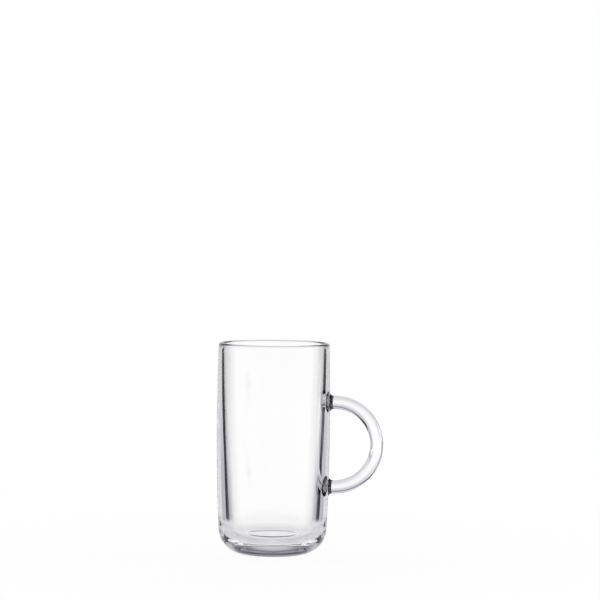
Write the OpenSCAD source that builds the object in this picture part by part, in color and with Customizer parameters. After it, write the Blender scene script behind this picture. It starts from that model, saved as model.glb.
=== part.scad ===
// Tall clear-glass coffee mug: a pressed, slightly barrelled body and a bent rod handle welded to its wall.
// Millimetres. The origin is on the mug's axis in the resting plane, +Z is up and the handle points to +X.

/* [Body] */
// Height from the resting plane to the top of the lip
body_h = 130; // [110:1:160]
// Outside diameter at the widest place, the belly
belly_d = 70; // [62:0.5:82]
// Height of the belly
belly_z = 80; // [65:1:95]
// How much narrower the lip's radius is than the belly's
belly_swell = 0.8; // [0.3:0.1:2]
// Outside radius of the rounded heel
heel_r = 16; // [10:0.5:20]

/* [Glass thickness] */
// Wall just under the lip
rim_wall = 3; // [2.2:0.1:4]
// Wall where the cavity's blend begins
heel_wall = 6.8; // [4.5:0.1:8]
// How far the cavity wall bows outwards from a straight taper
cavity_bow = 0.7; // [0.2:0.1:1.5]
// Glass between the cavity's lowest ring and the resting plane
floor_t = 9.3; // [7:0.1:13]
// Radius of the soft blend from the cavity's wall to its corner
blend_r = 60; // [30:1:90]
// Angle that the blend turns, in degrees
blend_a = 8; // [3:0.5:12]
// Radius of the cavity's corner
cavity_corner_r = 8; // [6:0.2:10]
// How far the corner's round runs on inwards and back up, to the flat pressed disc of the floor
moat_w = 3.2; // [1:0.1:5]

/* [Base] */
// Height of the heel's round that the resting plane grinds off
rest_cut = 0.3; // [0.1:0.05:0.6]
// Width of the ring that the mug rests on
rest_w = 1.4; // [0.8:0.1:2.5]
// Rise of the flat hollow under the base, and radius of its edge
punt_rise = 0.4; // [0.2:0.1:2]

/* [Handle] */
// Diameter of the glass rod
rod_d = 8.2; // [6:0.1:10]
// Radius of the half loop, at the rod's centre line
loop_r = 26.2; // [20:0.2:30]
// Height of the loop's middle
handle_z = 67.3; // [58:0.1:75]
// Straight run of rod between a foot's flare and the loop
stub = 0.2; // [0.1:0.1:6]
// How far each foot flares beyond the rod
flare_grow = 2.4; // [1:0.1:4]
// Length of the flare along the rod
flare_len = 2.6; // [1:0.1:4]

/* [Hidden] */

glass_tint = [0.86, 0.88, 0.91, 0.5];

// Segments of the round stretches
around_body = 80;
wall_steps = 12;
lip_steps = 10;
blend_steps = 4;
corner_steps = 10;
heel_steps = 12;
punt_steps = 6;
around_rod = 32;
loop_steps = 28;
flare_steps = 5;

// Rings inside a foot's weld face, as shares of the foot's radius
weld_ring_shares = [1 / 3, 2 / 3];

belly_r = belly_d / 2;
lip_r = rim_wall / 2;
lip_z = body_h - lip_r;
rod_r = rod_d / 2;

// The outer wall is one long arc, widest at the belly
wall_arc_r = (pow(body_h - belly_z, 2) + pow(belly_swell, 2)) / (2 * belly_swell);
wall_arc_c = [belly_r - wall_arc_r, belly_z];
function outer_r(z) = wall_arc_c.x + sqrt(pow(wall_arc_r, 2) - pow(z - belly_z, 2));

// The heel's arc touches the wall's arc from inside
heel_z = heel_r - rest_cut;
heel_c = [wall_arc_c.x + sqrt(pow(wall_arc_r - heel_r, 2) - pow(belly_z - heel_z, 2)), heel_z];
heel_top_a = atan2(heel_z - belly_z, heel_c.x - wall_arc_c.x);
heel_end_a = -asin(heel_z / heel_r);
rest_r = heel_c.x + heel_r * cos(heel_end_a);
punt_r = rest_r - rest_w;

// The cavity's wall is an arc from the lip down to the blend, and leans in towards the floor
corner_z = floor_t + cavity_corner_r;
cavity_top = [outer_r(lip_z) - rim_wall, lip_z];
function half_a(low) = 2 * atan(2 * cavity_bow / norm(cavity_top - low));
function low_a(low) = -atan2(cavity_top.x - low.x, cavity_top.y - low.y) - half_a(low);

// The blend's upper end settles, turn by turn, at the height that leaves the floor its thickness
settle_turns = 8;
function low_z(a) = corner_z + blend_r * sin(a) - (blend_r - cavity_corner_r) * sin(a - blend_a);
function at_wall(z) = [outer_r(z) - heel_wall, z];
function settle(low, turns) = turns == 0 ? low : settle(at_wall(low_z(low_a(low))), turns - 1);
cavity_low = settle(at_wall(corner_z), settle_turns);

cavity_low_a = low_a(cavity_low);
cavity_top_a = cavity_low_a + 2 * half_a(cavity_low);
cavity_arc_r = norm(cavity_top - cavity_low) / (2 * sin(half_a(cavity_low)));
cavity_arc_c = cavity_low - on_circle(cavity_arc_r, cavity_low_a);
blend_c = cavity_low - on_circle(blend_r, cavity_low_a);
corner_top_a = cavity_low_a - blend_a;
corner_end_a = -90 - asin(moat_w / cavity_corner_r);
corner_c = blend_c + on_circle(blend_r - cavity_corner_r, corner_top_a);

loop_c = [belly_r + flare_len + stub, handle_z];
foot_r = rod_r + flare_grow;

function on_circle(r, a) = r * [cos(a), sin(a)];
function arc(c, r, from_a, to_a, steps) =
    [for (i = [0 : steps]) c + on_circle(r, from_a + (to_a - from_a) * i / steps)];

// Half section of the glass, from the heel up the outside, over the lip and down the cavity
function body_section() = concat(
    arc(heel_c, heel_r, heel_end_a, heel_top_a, heel_steps),
    arc(wall_arc_c, wall_arc_r, heel_top_a, asin((lip_z - belly_z) / wall_arc_r), wall_steps),
    arc([outer_r(lip_z) - lip_r, lip_z], lip_r, 0, 180, lip_steps),
    arc(cavity_arc_c, cavity_arc_r, cavity_top_a, cavity_low_a, wall_steps),
    arc(blend_c, blend_r, cavity_low_a, corner_top_a, blend_steps),
    arc(corner_c, cavity_corner_r, corner_top_a, corner_end_a, corner_steps),
    [[0, corner_c.y + cavity_corner_r * sin(corner_end_a)]],
    [[0, punt_rise]],
    arc([punt_r - punt_rise, 0], punt_rise, 90, 0, punt_steps)
);

module glass_body() {
    color(glass_tint)
        rotate_extrude($fn = around_body)
            polygon(body_section());
}

// A ring of the handle's skin over the wall: side is 1 at the upper foot and -1 at the lower one
function wall_ring(side, r, lift) = [
    for (i = [0 : around_rod - 1])
        let (
            a = 360 * i / around_rod,
            y = r * sin(a),
            z = handle_z + side * (loop_r + r * cos(a))
        )
        [sqrt(pow(outer_r(z), 2) - y * y) + lift, y, z]
];

// The flare is a quarter round that follows the wall: share 0 is at the rod and 1 is on the wall
function flare_ring(side, share) =
    wall_ring(side, rod_r + flare_grow * (1 - cos(90 * share)), flare_len * (1 - sin(90 * share)));

// A ring of the rod itself, at an angle on the half loop
function loop_ring(loop_a) = [
    for (i = [0 : around_rod - 1])
        let (
            a = 360 * i / around_rod,
            p = loop_c + on_circle(loop_r + rod_r * cos(a), loop_a)
        )
        [p.x, rod_r * sin(a), p.y]
];

// All rings from the middle of the upper weld face to the middle of the lower one
function handle_rings() = concat(
    [for (share = weld_ring_shares) wall_ring(1, foot_r * share, 0)],
    [for (i = [0 : flare_steps]) flare_ring(1, 1 - i / flare_steps)],
    [for (i = [0 : loop_steps]) loop_ring(90 - 180 * i / loop_steps)],
    [for (i = [0 : flare_steps]) flare_ring(-1, i / flare_steps)],
    [for (i = [len(weld_ring_shares) - 1 : -1 : 0]) wall_ring(-1, foot_r * weld_ring_shares[i], 0)]
);

// Two triangles between each pair of neighbours on consecutive rings
function skin_faces(rings) = [
    for (k = [0 : rings - 2], i = [0 : around_rod - 1])
        let (
            j = (i + 1) % around_rod,
            low = k * around_rod,
            high = low + around_rod
        )
        each [[low + i, high + i, high + j], [low + i, high + j, low + j]]
];

// A fan of triangles from a ring to the middle of its weld face
function fan_faces(middle, first, turn) = [
    for (i = [0 : around_rod - 1])
        let (j = (i + 1) % around_rod)
        turn > 0 ? [middle, first + i, first + j] : [middle, first + j, first + i]
];

module handle() {
    rings = handle_rings();
    skin = [for (ring = rings) each ring];
    upper_z = handle_z + loop_r;
    lower_z = handle_z - loop_r;
    middles = [[outer_r(upper_z), 0, upper_z], [outer_r(lower_z), 0, lower_z]];
    last_ring = (len(rings) - 1) * around_rod;
    color(glass_tint)
        polyhedron(
            concat(skin, middles),
            concat(
                skin_faces(len(rings)),
                fan_faces(len(skin), 0, 1),
                fan_faces(len(skin) + 1, last_ring, -1)
            )
        );
}

glass_body();
handle();
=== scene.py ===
import math

import bpy
import numpy as np
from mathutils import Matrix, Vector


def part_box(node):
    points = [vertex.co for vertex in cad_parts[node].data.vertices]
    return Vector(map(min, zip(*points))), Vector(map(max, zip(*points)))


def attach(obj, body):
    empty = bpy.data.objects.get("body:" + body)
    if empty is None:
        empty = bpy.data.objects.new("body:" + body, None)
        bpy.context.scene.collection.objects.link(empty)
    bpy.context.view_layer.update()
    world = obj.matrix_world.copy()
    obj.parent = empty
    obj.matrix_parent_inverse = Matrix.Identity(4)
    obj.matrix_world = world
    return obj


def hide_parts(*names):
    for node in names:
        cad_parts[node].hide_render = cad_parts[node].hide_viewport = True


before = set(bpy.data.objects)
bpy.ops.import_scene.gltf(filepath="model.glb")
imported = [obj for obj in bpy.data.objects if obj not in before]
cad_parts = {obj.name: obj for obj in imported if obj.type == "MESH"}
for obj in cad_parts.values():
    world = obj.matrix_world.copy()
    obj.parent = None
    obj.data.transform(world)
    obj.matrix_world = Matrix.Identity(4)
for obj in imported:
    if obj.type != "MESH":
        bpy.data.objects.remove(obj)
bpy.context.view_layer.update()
scene = bpy.context.scene

# Sizes of the mug, in metres, as in the CAD model.
# The CAD model's mesh is a hair narrower to one side, and the belly stays inside it
body_low, body_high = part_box("glass_body")
BODY_H = body_high.z
BELLY_R = min(body_high.y, -body_low.x)
BELLY_Z = 0.080
BELLY_SWELL = 0.0008
HEEL_R = 0.016
RIM_WALL = 0.003
HEEL_WALL = 0.0068
CAVITY_BOW = 0.0007
FLOOR_T = 0.0093
BLEND_R = 0.060
BLEND_A = math.radians(8)
CAVITY_CORNER_R = 0.008
MOAT_W = 0.0032
REST_CUT = 0.0003
REST_W = 0.0014
PUNT_RISE = 0.0004
ROD_R = 0.0041
LOOP_R = 0.0262
HANDLE_Z = 0.0673
STUB = 0.0002
FLARE_GROW = 0.0024
FLARE_LEN = 0.0026

# Sizes that follow from those. The outer wall is one long arc, widest at the belly
WALL_ARC_R = ((BODY_H - BELLY_Z) ** 2 + BELLY_SWELL**2) / (2 * BELLY_SWELL)
WALL_ARC_X = BELLY_R - WALL_ARC_R
LIP_R = RIM_WALL / 2
LIP_Z = BODY_H - LIP_R
LOOP_X = BELLY_R + FLARE_LEN + STUB
FOOT_R = ROD_R + FLARE_GROW
FEET_Z = (HANDLE_Z + LOOP_R, HANDLE_Z - LOOP_R)

# Steps of the meshes
COLUMNS = 384
WALL_ROW = 0.0015
HEEL_STEPS = 36
LIP_STEPS = 28
CAVITY_STEPS = 44
BLEND_STEPS = 8
CORNER_STEPS = 36
PUNT_STEPS = 12
FLARE_STEPS = 16
LOOP_STEPS = 96

# Turns in which the cavity's blend settles at the height that leaves the floor its thickness
SETTLE_TURNS = 8

# Rings inside a round face, as shares of its radius from the edge inwards
RING_SHARES = (0.75, 0.5, 0.25)

# A weld window is a block of the wall's grid that reaches this far to each side of the weld's middle.
# Its edge has as many points as a ring of the rod
WINDOW_COLUMNS = 16
WINDOW_ROWS = 6
WINDOW_STEPS = 4
ROD_POINTS = 4 * (WINDOW_COLUMNS + WINDOW_ROWS)
ROD_ANGLES = [2 * math.pi * i / ROD_POINTS for i in range(ROD_POINTS)]

# Material slots of both pieces
GLASS = 0
WELD = 1

# Glass, with patches of duller polish and the faint waves that pressing leaves
GLASS_COLOUR = (0.995, 0.995, 0.995, 1)
GLASS_IOR = 1.52
NOISE_DETAIL = 2.0
POLISH_SCALE = 220.0
POLISH_NOISE = (0.45, 0.75)
POLISH_ROUGHNESS = (0.0, 0.015)
WAVE_SCALE = 45.0
WAVE_STRENGTH = 0.3
WAVE_DEPTH = 0.00003

# Painted shade on a weld face, in place of the dark look that refraction gives the joints: the light it lets
# through, by distance from its middle in metres
WELD_SHADE_LEVELS = ((0, 0.8), (0.003, 0.8), (0.005, 0.3), (0.0065, 0.2))

# Brightness of the studio behind and in front of the mug, by elevation in degrees
BEHIND = (
    (-90, 0.7), (-40, 0.7), (-25, 0.8), (-18, 0.92), (-9, 1.0), (0, 1.0), (4, 0.8), (13, 0.7),
    (18, 0.57), (22, 0.42), (25, 0.25), (30, 0.15), (36, 0.85), (48, 0.75), (56, 0.15), (90, 0.05),
)
IN_FRONT = (
    (-90, 0.6), (-40, 0.9), (-25, 1.0), (-4, 1.0), (4, 0.15), (12, 0.0), (26, 0.05), (32, 0.4),
    (36, 0.52), (42, 0.45), (46, 0.1), (60, 0.0), (90, 0.0),
)

# Share of y in a level direction, from where all is behind to where all is in front
FRONT_BLEND = (0.5, -0.5)

# The powers of the studio's brightness for red, green and blue, which leave its shades a little lavender
LAVENDER = (1.0, 1.02, 0.86)

# Two dark panels beside the backdrop, each with the backdrop's direction and the panel's side of it.
# Angles are in degrees. A panel's inner edge and half-shade change between the two elevations of its lean
PANELS = ((92, -1), (90, 1))
PANEL_LEAN = (-11, -8)
PANEL_INNER = (43, 30.5)
PANEL_SOFT = 2
PANEL_OUTER = (69, 75)
PANEL_FOOT = (-22, -14)
PANEL_TOP = (32, 35)
FOOT_SHADE = 0.18

# The half-shade before a panel's inner edge: where it starts and how dark it is, both low and high,
# and the share of its width in which it gets that dark
HALO_START = (-26, -13)
HALO_SHADE = (0.5, 0.08)
HALO_RISE = 0.43

# The floor, whose faint shadow fades out between two distances from the mug's axis, in metres
WHITE = (1, 1, 1, 1)
FLOOR_HALF = 4.0
FLOOR_FADE = (0.12, 0.35)
FLOOR_GREY = (0.25, 0.25, 0.25, 1)
FLOOR_GLOW = 0.93

# Soft lamps for the handle, each with its side. Lengths are in metres, the turn is off straight behind,
# the power is in watts for each square metre of lamp, and the levels go by share of the lamp's width
LAMPS = (("lamp_left", -1), ("lamp_right", 1))
LAMP_W = 0.22
LAMP_H = 0.12
LAMP_AWAY = 0.2
LAMP_TURN = math.radians(52)
LAMP_POWER = math.pi
LAMP_LEVELS = ((0, 0.0), (0.15, 0.5), (0.85, 0.5), (1, 0.0))
LAMP_COLOUR = (0.97, 0.965, 1, 1)

# Camera, fitted to the photograph's silhouette
CAMERA_AT = (0.0151, -1.485, 0.2165)
CAMERA_PITCH = math.radians(2.31)
CAMERA_ROLL = math.radians(0.55)
CAMERA_LENS = 144.5
SENSOR = 36.0

# Light passes many layers of glass
BOUNCES = 32
BOUNCE_KINDS = ("max_bounces", "transmission_bounces", "glossy_bounces", "transparent_max_bounces")


def on_circle(r, a):
    return np.array([r * math.cos(a), r * math.sin(a)])


def arc(centre, r, from_a, to_a, steps):
    """Points on a circle, both ends included."""
    return [np.array(centre) + on_circle(r, a) for a in np.linspace(from_a, to_a, steps + 1)]


def outer_r(z):
    """The outer wall's radius at a height."""
    return WALL_ARC_X + math.sqrt(WALL_ARC_R**2 - (z - BELLY_Z) ** 2)


def wall_point(y, z, lift=0.0):
    """A point of the outer wall on the handle's side, lifted off it along x."""
    return np.array([math.sqrt(outer_r(z) ** 2 - y * y) + lift, y, z])


def heel_section():
    """The heel's arc, from the rest ring up to where it touches the wall's arc from inside."""
    z = HEEL_R - REST_CUT
    x = WALL_ARC_X + math.sqrt((WALL_ARC_R - HEEL_R) ** 2 - (BELLY_Z - z) ** 2)
    end_a = -math.asin(z / HEEL_R)
    top_a = math.atan2(z - BELLY_Z, x - WALL_ARC_X)
    return arc((x, z), HEEL_R, end_a, top_a, HEEL_STEPS)


def punt_section(rest_r):
    """The flat hollow under the base, from near its middle to its rounded edge at the rest ring."""
    flat_r = rest_r - REST_W - PUNT_RISE
    flat = [np.array([flat_r * share, PUNT_RISE]) for share in reversed(RING_SHARES)]
    return flat + arc((flat_r, 0), PUNT_RISE, math.pi / 2, 0, PUNT_STEPS)


def wall_section(low_z):
    """The outer wall, from the heel up to the lip."""
    rows = round((LIP_Z - low_z) / WALL_ROW)
    return [np.array([outer_r(z), z]) for z in np.linspace(low_z, LIP_Z, rows + 1)]


def inner_section():
    """The lip, then the cavity's wall, blend and corner, then the floor's pressed disc."""
    corner_z = FLOOR_T + CAVITY_CORNER_R
    top = np.array([outer_r(LIP_Z) - RIM_WALL, LIP_Z])
    low_z = corner_z
    for _ in range(SETTLE_TURNS):
        low = np.array([outer_r(low_z) - HEEL_WALL, low_z])
        chord = top - low
        half_a = 2 * math.atan(2 * CAVITY_BOW / np.linalg.norm(chord))
        low_a = -math.atan2(chord[0], chord[1]) - half_a
        corner_a = low_a - BLEND_A
        low_z = corner_z + BLEND_R * math.sin(low_a)
        low_z -= (BLEND_R - CAVITY_CORNER_R) * math.sin(corner_a)
    cavity_r = np.linalg.norm(chord) / (2 * math.sin(half_a))
    cavity = low - on_circle(cavity_r, low_a)
    blend = low - on_circle(BLEND_R, low_a)
    corner = blend + on_circle(BLEND_R - CAVITY_CORNER_R, corner_a)
    corner_end_a = -math.pi / 2 - math.asin(MOAT_W / CAVITY_CORNER_R)

    section = arc((outer_r(LIP_Z) - LIP_R, LIP_Z), LIP_R, 0, math.pi, LIP_STEPS)[1:]
    section += arc(cavity, cavity_r, low_a + 2 * half_a, low_a, CAVITY_STEPS)[1:]
    section += arc(blend, BLEND_R, low_a, corner_a, BLEND_STEPS)[1:]
    section += arc(corner, CAVITY_CORNER_R, corner_a, corner_end_a, CORNER_STEPS)[1:]
    disc_r, floor_z = section[-1]
    return section + [np.array([disc_r * share, floor_z]) for share in RING_SHARES]


def add_object(name, data):
    made = bpy.data.objects.new(name, data)
    scene.collection.objects.link(made)
    return made


def ring_pairs(ring):
    """Each point of a closed ring with the next one."""
    return list(zip(ring, ring[1:] + ring[:1]))


class MeshBuilder:
    """Collects points and faces, each face with its material slot."""

    def __init__(self):
        self.points = []
        self.faces = []
        self.slots = []

    def add(self, point):
        self.points.append(tuple(point))
        return len(self.points) - 1

    def face(self, corners, slot):
        self.faces.append(corners)
        self.slots.append(slot)

    def join(self, ring_a, ring_b, slot=GLASS, gaps=()):
        """Quads between two closed rings of the same length, apart from the gaps."""
        for i, (a, b) in enumerate(zip(ring_pairs(ring_a), ring_pairs(ring_b))):
            if i not in gaps:
                self.face((a[0], a[1], b[1], b[0]), slot)

    def skin(self, rings):
        """Quads between each ring and the next one."""
        for ring_a, ring_b in zip(rings[:-1], rings[1:]):
            self.join(ring_a, ring_b)

    def fan(self, ring, middle, slot=GLASS):
        """Triangles between a closed ring and its middle."""
        for a, b in ring_pairs(ring):
            self.face((a, b, middle), slot)

    def build(self, name, materials, sharp_rings):
        mesh = bpy.data.meshes.new(name)
        mesh.from_pydata(self.points, [], self.faces)
        mesh.polygons.foreach_set("material_index", self.slots)
        mesh.polygons.foreach_set("use_smooth", [True] * len(self.faces))
        sharp = {frozenset(pair) for ring in sharp_rings for pair in ring_pairs(ring)}
        flags = [frozenset(edge.vertices) in sharp for edge in mesh.edges]
        mesh.attributes.new("sharp_edge", "BOOLEAN", "EDGE").data.foreach_set("value", flags)
        for material in materials:
            mesh.materials.append(material)
        mesh.update()
        return add_object(name, mesh)


def make_body(materials):
    """The body as one lathe skin, whose outer wall has a window of its own for each weld."""
    build = MeshBuilder()
    turns = [2 * math.pi * i / COLUMNS for i in range(COLUMNS)]

    def lathe(section):
        return [[build.add((*on_circle(r, turn), z)) for turn in turns] for r, z in section]

    heel = heel_section()
    rest_r = heel[0][0]
    heel_top_z = heel[-1][1]
    inside = inner_section()
    floor_z = inside[-1][1]
    under_middle = build.add((0, 0, PUNT_RISE))
    under = lathe(punt_section(rest_r))
    skirt = lathe(heel)
    wall = skirt[-1:] + lathe(wall_section(heel_top_z)[1:])
    inner = lathe(inside)
    floor_middle = build.add((0, 0, floor_z))
    disc_edge = inner[-1 - len(RING_SHARES)]

    taken = set()
    for foot_z in FEET_Z:
        taken |= weld_window(build, wall, foot_z)
    build.fan(under[0][::-1], under_middle)
    build.skin(under + skirt)
    for row, (low, high) in enumerate(zip(wall[:-1], wall[1:])):
        build.join(low, high, gaps={column for taken_row, column in taken if taken_row == row})
    build.skin(wall[-1:] + inner)
    build.fan(inner[-1], floor_middle)
    return build.build("glass_body_lathe", materials, [under[-1], skirt[0], disc_edge])


def weld_window(build, wall, foot_z):
    """Fills a block of the wall's grid with rings that end in a weld face, and returns the block's cells."""
    away = [abs(build.points[row[0]][2] - foot_z) for row in wall]
    middle_row = away.index(min(away))
    low = middle_row - WINDOW_ROWS
    top = middle_row + WINDOW_ROWS
    half = WINDOW_COLUMNS

    # The block's edge and the weld's circle both start at the top and turn towards +y
    spots = [(top, column) for column in range(half)]
    spots += [(row, half) for row in range(top, low, -1)]
    spots += [(low, column) for column in range(half, -half, -1)]
    spots += [(row, -half) for row in range(low, top)]
    spots += [(top, column) for column in range(-half, 0)]
    ring = [wall[row][column % COLUMNS] for row, column in spots]
    edge = [np.array(build.points[k][1:]) for k in ring]
    middle = np.array([0, foot_z])
    circle = [middle + FOOT_R * np.array([math.sin(a), math.cos(a)]) for a in ROD_ANGLES]

    flat_rings = []
    for step in range(1, WINDOW_STEPS + 1):
        share = step / WINDOW_STEPS
        flat_rings.append((GLASS, [e * (1 - share) + c * share for e, c in zip(edge, circle)]))
    for share in RING_SHARES:
        flat_rings.append((WELD, [middle + (c - middle) * share for c in circle]))
    for slot, flat in flat_rings:
        inner_ring = [build.add(wall_point(y, z)) for y, z in flat]
        build.join(inner_ring, ring, slot)
        ring = inner_ring
    build.fan(ring[::-1], build.add(wall_point(*middle)), WELD)
    return {(row, column % COLUMNS) for row in range(low, top) for column in range(-half, half)}


def make_handle(materials):
    """The rod's half loop and two flared feet: side is 1 at the upper foot and -1 at the lower one."""
    build = MeshBuilder()

    def wall_ring(side, r, lift=0.0):
        ring = []
        for a in ROD_ANGLES:
            z = HANDLE_Z + side * (LOOP_R + r * math.cos(a))
            ring.append(build.add(wall_point(r * math.sin(a), z, lift)))
        return ring

    def flare_ring(side, share):
        """The flare is a quarter round that follows the wall: share 0 is at the rod and 1 is on the wall."""
        a = math.pi / 2 * share
        return wall_ring(side, ROD_R + FLARE_GROW * (1 - math.cos(a)), FLARE_LEN * (1 - math.sin(a)))

    def loop_ring(loop_a):
        ring = []
        for a in ROD_ANGLES:
            x, z = on_circle(LOOP_R + ROD_R * math.cos(a), loop_a)
            ring.append(build.add((LOOP_X + x, ROD_R * math.sin(a), HANDLE_Z + z)))
        return ring

    upper_weld = [wall_ring(1, FOOT_R * share) for share in reversed(RING_SHARES)]
    lower_weld = [wall_ring(-1, FOOT_R * share) for share in RING_SHARES]
    rod = [flare_ring(1, 1 - i / FLARE_STEPS) for i in range(FLARE_STEPS + 1)]
    rod += [loop_ring(math.pi * (0.5 - i / LOOP_STEPS)) for i in range(LOOP_STEPS + 1)]
    rod += [flare_ring(-1, i / FLARE_STEPS) for i in range(FLARE_STEPS + 1)]
    upper_middle, lower_middle = [build.add(wall_point(0, z)) for z in FEET_Z]

    rings = upper_weld + rod + lower_weld
    slots = [WELD] * len(upper_weld) + [GLASS] * (len(rod) - 1) + [WELD] * len(lower_weld)
    build.fan(rings[0], upper_middle, WELD)
    for ring, next_ring, slot in zip(rings[:-1], rings[1:], slots):
        build.join(next_ring, ring, slot)
    build.fan(rings[-1][::-1], lower_middle, WELD)
    return build.build("handle_rod", materials, [rod[0], rod[-1]])


class Graph:
    """Short way to write a node graph."""

    def __init__(self, tree):
        self.tree = tree

    def node(self, kind, **values):
        made = self.tree.nodes.new(kind)
        for key, value in values.items():
            setattr(made, key, value)
        return made

    def link(self, output, socket):
        self.tree.links.new(output, socket)

    def coloured(self, kind, colour):
        """A shader node with its colour set."""
        made = self.node(kind)
        made.inputs["Color"].default_value = colour
        return made

    def mixed(self, share, first, second):
        """Two shaders in one, where share is the second one's."""
        made = self.node("ShaderNodeMixShader")
        for i, output in enumerate((share, first.outputs[0], second.outputs[0])):
            self.link(output, made.inputs[i])
        return made.outputs[0]

    def split(self, vector):
        """The x, y and z of a vector."""
        made = self.node("ShaderNodeSeparateXYZ")
        self.link(vector, made.inputs[0])
        return made.outputs

    def math(self, operation, *inputs):
        made = self.node("ShaderNodeMath", operation=operation)
        for i, value in enumerate(inputs):
            if isinstance(value, (int, float)):
                made.inputs[i].default_value = value
            else:
                self.link(value, made.inputs[i])
        return made.outputs[0]

    def length(self, a, b):
        """Length of the flat vector a, b."""
        return self.math("SQRT", self.math("ADD", self.math("MULTIPLY", a, a), self.math("MULTIPLY", b, b)))

    def ramp(self, value, from_low, from_high, to_low, to_high, smooth=False):
        """The value carried from one range to another, and held at its ends."""
        made = self.node("ShaderNodeMapRange", interpolation_type="SMOOTHSTEP" if smooth else "LINEAR")
        for i, limit in enumerate((from_low, from_high, to_low, to_high), start=1):
            made.inputs[i].default_value = limit
        self.link(value, made.inputs[0])
        return made.outputs[0]

    def levels(self, value, stops):
        """Grey level by stops of (value, level)."""
        low = stops[0][0]
        high = stops[-1][0]
        made = self.node("ShaderNodeValToRGB")
        self.link(self.ramp(value, low, high, 0, 1), made.inputs[0])
        elements = made.color_ramp.elements
        while len(elements) < len(stops):
            elements.new(1.0)
        for element, (at, level) in zip(elements, stops):
            element.position = (at - low) / (high - low)
            element.color = (level, level, level, 1)
        return made.outputs["Color"]


def glass_material(name):
    material = bpy.data.materials.new(name)
    material.use_nodes = True
    shader = material.node_tree.nodes["Principled BSDF"]
    shader.inputs["Base Color"].default_value = GLASS_COLOUR
    shader.inputs["Transmission Weight"].default_value = 1.0
    shader.inputs["IOR"].default_value = GLASS_IOR
    graph = Graph(material.node_tree)
    place = graph.node("ShaderNodeTexCoord")

    def noise(scale):
        made = graph.node("ShaderNodeTexNoise")
        made.inputs["Scale"].default_value = scale
        made.inputs["Detail"].default_value = NOISE_DETAIL
        graph.link(place.outputs["Object"], made.inputs["Vector"])
        return made.outputs["Fac"]

    polish = graph.ramp(noise(POLISH_SCALE), *POLISH_NOISE, *POLISH_ROUGHNESS)
    graph.link(polish, shader.inputs["Roughness"])
    wave = graph.node("ShaderNodeBump")
    wave.inputs["Strength"].default_value = WAVE_STRENGTH
    wave.inputs["Distance"].default_value = WAVE_DEPTH
    graph.link(noise(WAVE_SCALE), wave.inputs["Height"])
    graph.link(wave.outputs[0], shader.inputs["Normal"])
    return material


def weld_shade_material():
    """Melted glass has no surface at a weld, so light goes straight on; painted shade lets less of it
    through, least near the weld's edge.
    """
    material = bpy.data.materials.new("weld_face_painted_shade")
    material.use_nodes = True
    tree = material.node_tree
    tree.nodes.remove(tree.nodes["Principled BSDF"])
    graph = Graph(tree)
    place = graph.node("ShaderNodeTexCoord")
    _, y, z = graph.split(place.outputs["Object"])
    from_handle_z = graph.math("ABSOLUTE", graph.math("SUBTRACT", z, HANDLE_Z))
    from_foot_z = graph.math("SUBTRACT", from_handle_z, LOOP_R)
    clear = graph.node("ShaderNodeBsdfTransparent")
    # Painted shade: the weld face lets less light through, darkest towards its edge
    graph.link(graph.levels(graph.length(y, from_foot_z), WELD_SHADE_LEVELS), clear.inputs["Color"])
    graph.link(clear.outputs[0], tree.nodes["Material Output"].inputs["Surface"])
    return material


def past_panel(graph, turn, elevation, direction, side):
    """Share of light that a dark panel leaves, with its half-shade towards the backdrop."""
    off = graph.math("WRAP", graph.math("SUBTRACT", turn, direction), 180, -180)
    off = graph.math("MULTIPLY", off, side)
    past_edge = graph.math("SUBTRACT", off, graph.ramp(elevation, *PANEL_LEAN, *PANEL_INNER))
    inner = graph.ramp(past_edge, -PANEL_SOFT / 2, PANEL_SOFT / 2, 0, 1)
    halo_start = graph.ramp(elevation, *PANEL_LEAN, *HALO_START)
    halo_shade = graph.ramp(elevation, *PANEL_LEAN, *HALO_SHADE)
    into_halo = graph.math("SUBTRACT", 1.0, graph.math("DIVIDE", past_edge, halo_start))
    halo = graph.math("MULTIPLY", graph.ramp(into_halo, 0, HALO_RISE, 0, 1), halo_shade)
    shade = graph.math("MAXIMUM", inner, halo)
    outer = graph.ramp(off, *PANEL_OUTER, 1, 0)
    foot = graph.ramp(elevation, *PANEL_FOOT, FOOT_SHADE, 1, smooth=True)
    top = graph.ramp(elevation, *PANEL_TOP, 1, 0, smooth=True)
    for end in (outer, foot, top):
        shade = graph.math("MULTIPLY", shade, end)
    return graph.math("SUBTRACT", 1.0, shade)


def studio_colour(graph):
    """Colour of the studio's light by direction."""
    place = graph.node("ShaderNodeTexCoord")
    x, y, z = graph.split(place.outputs["Generated"])
    elevation = graph.math("DEGREES", graph.math("ARCSINE", z))
    turn = graph.math("DEGREES", graph.math("ARCTAN2", y, x))
    around = graph.node("ShaderNodeMix", data_type="FLOAT")
    level_y = graph.math("DIVIDE", y, graph.length(x, y))
    graph.link(graph.ramp(level_y, *FRONT_BLEND, 0, 1, smooth=True), around.inputs["Factor"])
    graph.link(graph.levels(elevation, BEHIND), around.inputs["A"])
    graph.link(graph.levels(elevation, IN_FRONT), around.inputs["B"])
    level = around.outputs["Result"]
    for direction, side in PANELS:
        level = graph.math("MULTIPLY", level, past_panel(graph, turn, elevation, direction, side))
    colour = graph.node("ShaderNodeCombineColor")
    for i, power in enumerate(LAVENDER):
        graph.link(graph.math("POWER", level, power), colour.inputs[i])
    return colour.outputs[0]


def studio_world():
    """The studio lights the mug, and the camera sees plain white behind everything."""
    world = bpy.data.worlds.new("studio")
    scene.world = world
    world.use_nodes = True
    world.node_tree.nodes.clear()
    graph = Graph(world.node_tree)
    studio = graph.node("ShaderNodeBackground")
    graph.link(studio_colour(graph), studio.inputs["Color"])
    backdrop = graph.coloured("ShaderNodeBackground", WHITE)
    path = graph.node("ShaderNodeLightPath")
    out = graph.node("ShaderNodeOutputWorld")
    graph.link(graph.mixed(path.outputs["Is Camera Ray"], studio, backdrop), out.inputs["Surface"])


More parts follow.
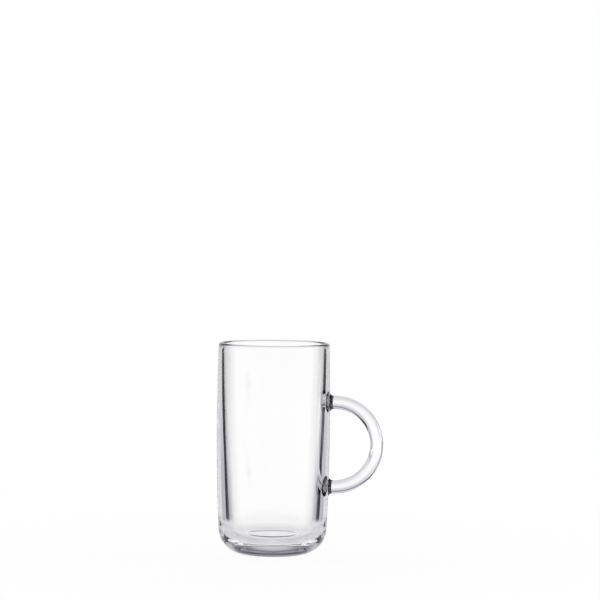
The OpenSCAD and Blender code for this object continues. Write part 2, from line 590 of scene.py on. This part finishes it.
def floor_material():
    """White that takes a faint shadow near the mug and glows evenly further away."""
    material = bpy.data.materials.new("floor_white")
    material.use_nodes = True
    material.node_tree.nodes.clear()
    graph = Graph(material.node_tree)
    place = graph.node("ShaderNodeTexCoord")
    distance = graph.node("ShaderNodeVectorMath", operation="LENGTH")
    graph.link(place.outputs["Object"], distance.inputs[0])
    far = graph.ramp(distance.outputs["Value"], *FLOOR_FADE, 0, 1, smooth=True)
    lit = graph.coloured("ShaderNodeBsdfDiffuse", FLOOR_GREY)
    glow = graph.coloured("ShaderNodeEmission", WHITE)
    glow.inputs["Strength"].default_value = FLOOR_GLOW
    near = graph.node("ShaderNodeAddShader")
    graph.link(lit.outputs[0], near.inputs[0])
    graph.link(glow.outputs[0], near.inputs[1])
    white = graph.coloured("ShaderNodeEmission", WHITE)
    out = graph.node("ShaderNodeOutputMaterial")
    graph.link(graph.mixed(far, near, white), out.inputs["Surface"])
    return material


def studio_floor():
    corners = [(-1, -1), (1, -1), (1, 1), (-1, 1)]
    mesh = bpy.data.meshes.new("floor")
    mesh.from_pydata([(x * FLOOR_HALF, y * FLOOR_HALF, 0) for x, y in corners], [], [(0, 1, 2, 3)])
    mesh.materials.append(floor_material())
    floor = add_object("floor", mesh)
    floor.visible_transmission = False
    floor.visible_glossy = False


def handle_lamp(name, side):
    """A soft lamp behind the rod and to one side of it, which faces the rod."""
    data = bpy.data.lights.new(name, "AREA")
    data.shape = "RECTANGLE"
    data.size = LAMP_W
    data.size_y = LAMP_H
    data.energy = LAMP_POWER * LAMP_W * LAMP_H
    data.use_nodes = True
    graph = Graph(data.node_tree)
    place = graph.node("ShaderNodeNewGeometry")
    across, _, _ = graph.split(place.outputs["Parametric"])
    glow = data.node_tree.nodes["Emission"]
    glow.inputs["Color"].default_value = LAMP_COLOUR
    graph.link(graph.levels(across, LAMP_LEVELS), glow.inputs["Strength"])
    lamp = add_object(name, data)
    turn = side * LAMP_TURN
    rod_x = LOOP_X + LOOP_R
    lamp.location = (rod_x + LAMP_AWAY * math.sin(turn), LAMP_AWAY * math.cos(turn), HANDLE_Z)
    lamp.rotation_euler = (math.pi / 2, 0, math.pi - turn)
    lamp.visible_camera = False
    lamp.visible_glossy = False
    lamp.visible_diffuse = False
    return lamp


def handle_lamps(handle):
    """The lamps light the handle only."""
    lit = bpy.data.collections.new("lit_by_handle_lamps")
    lit.objects.link(handle)
    for name, side in LAMPS:
        handle_lamp(name, side).light_linking.receiver_collection = lit


def photo_camera():
    data = bpy.data.cameras.new("camera")
    data.lens = CAMERA_LENS
    data.sensor_width = SENSOR
    data.sensor_fit = "HORIZONTAL"
    camera = add_object("camera", data)
    camera.location = CAMERA_AT
    camera.rotation_mode = "XYZ"
    camera.rotation_euler = (math.pi / 2 - CAMERA_PITCH, -CAMERA_ROLL, 0)
    scene.camera = camera


def add_piece(piece, node):
    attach(piece, "root")
    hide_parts(node)


scene.view_settings.view_transform = "Standard"
for kind in BOUNCE_KINDS:
    setattr(scene.cycles, kind, BOUNCES)

photo_camera()
studio_world()
studio_floor()
# The weld faces carry painted shade in place of the joints' refraction shade
weld = weld_shade_material()
add_piece(make_body([glass_material("body_glass"), weld]), "glass_body")
handle = make_handle([glass_material("handle_glass"), weld])
add_piece(handle, "handle")
handle_lamps(handle)
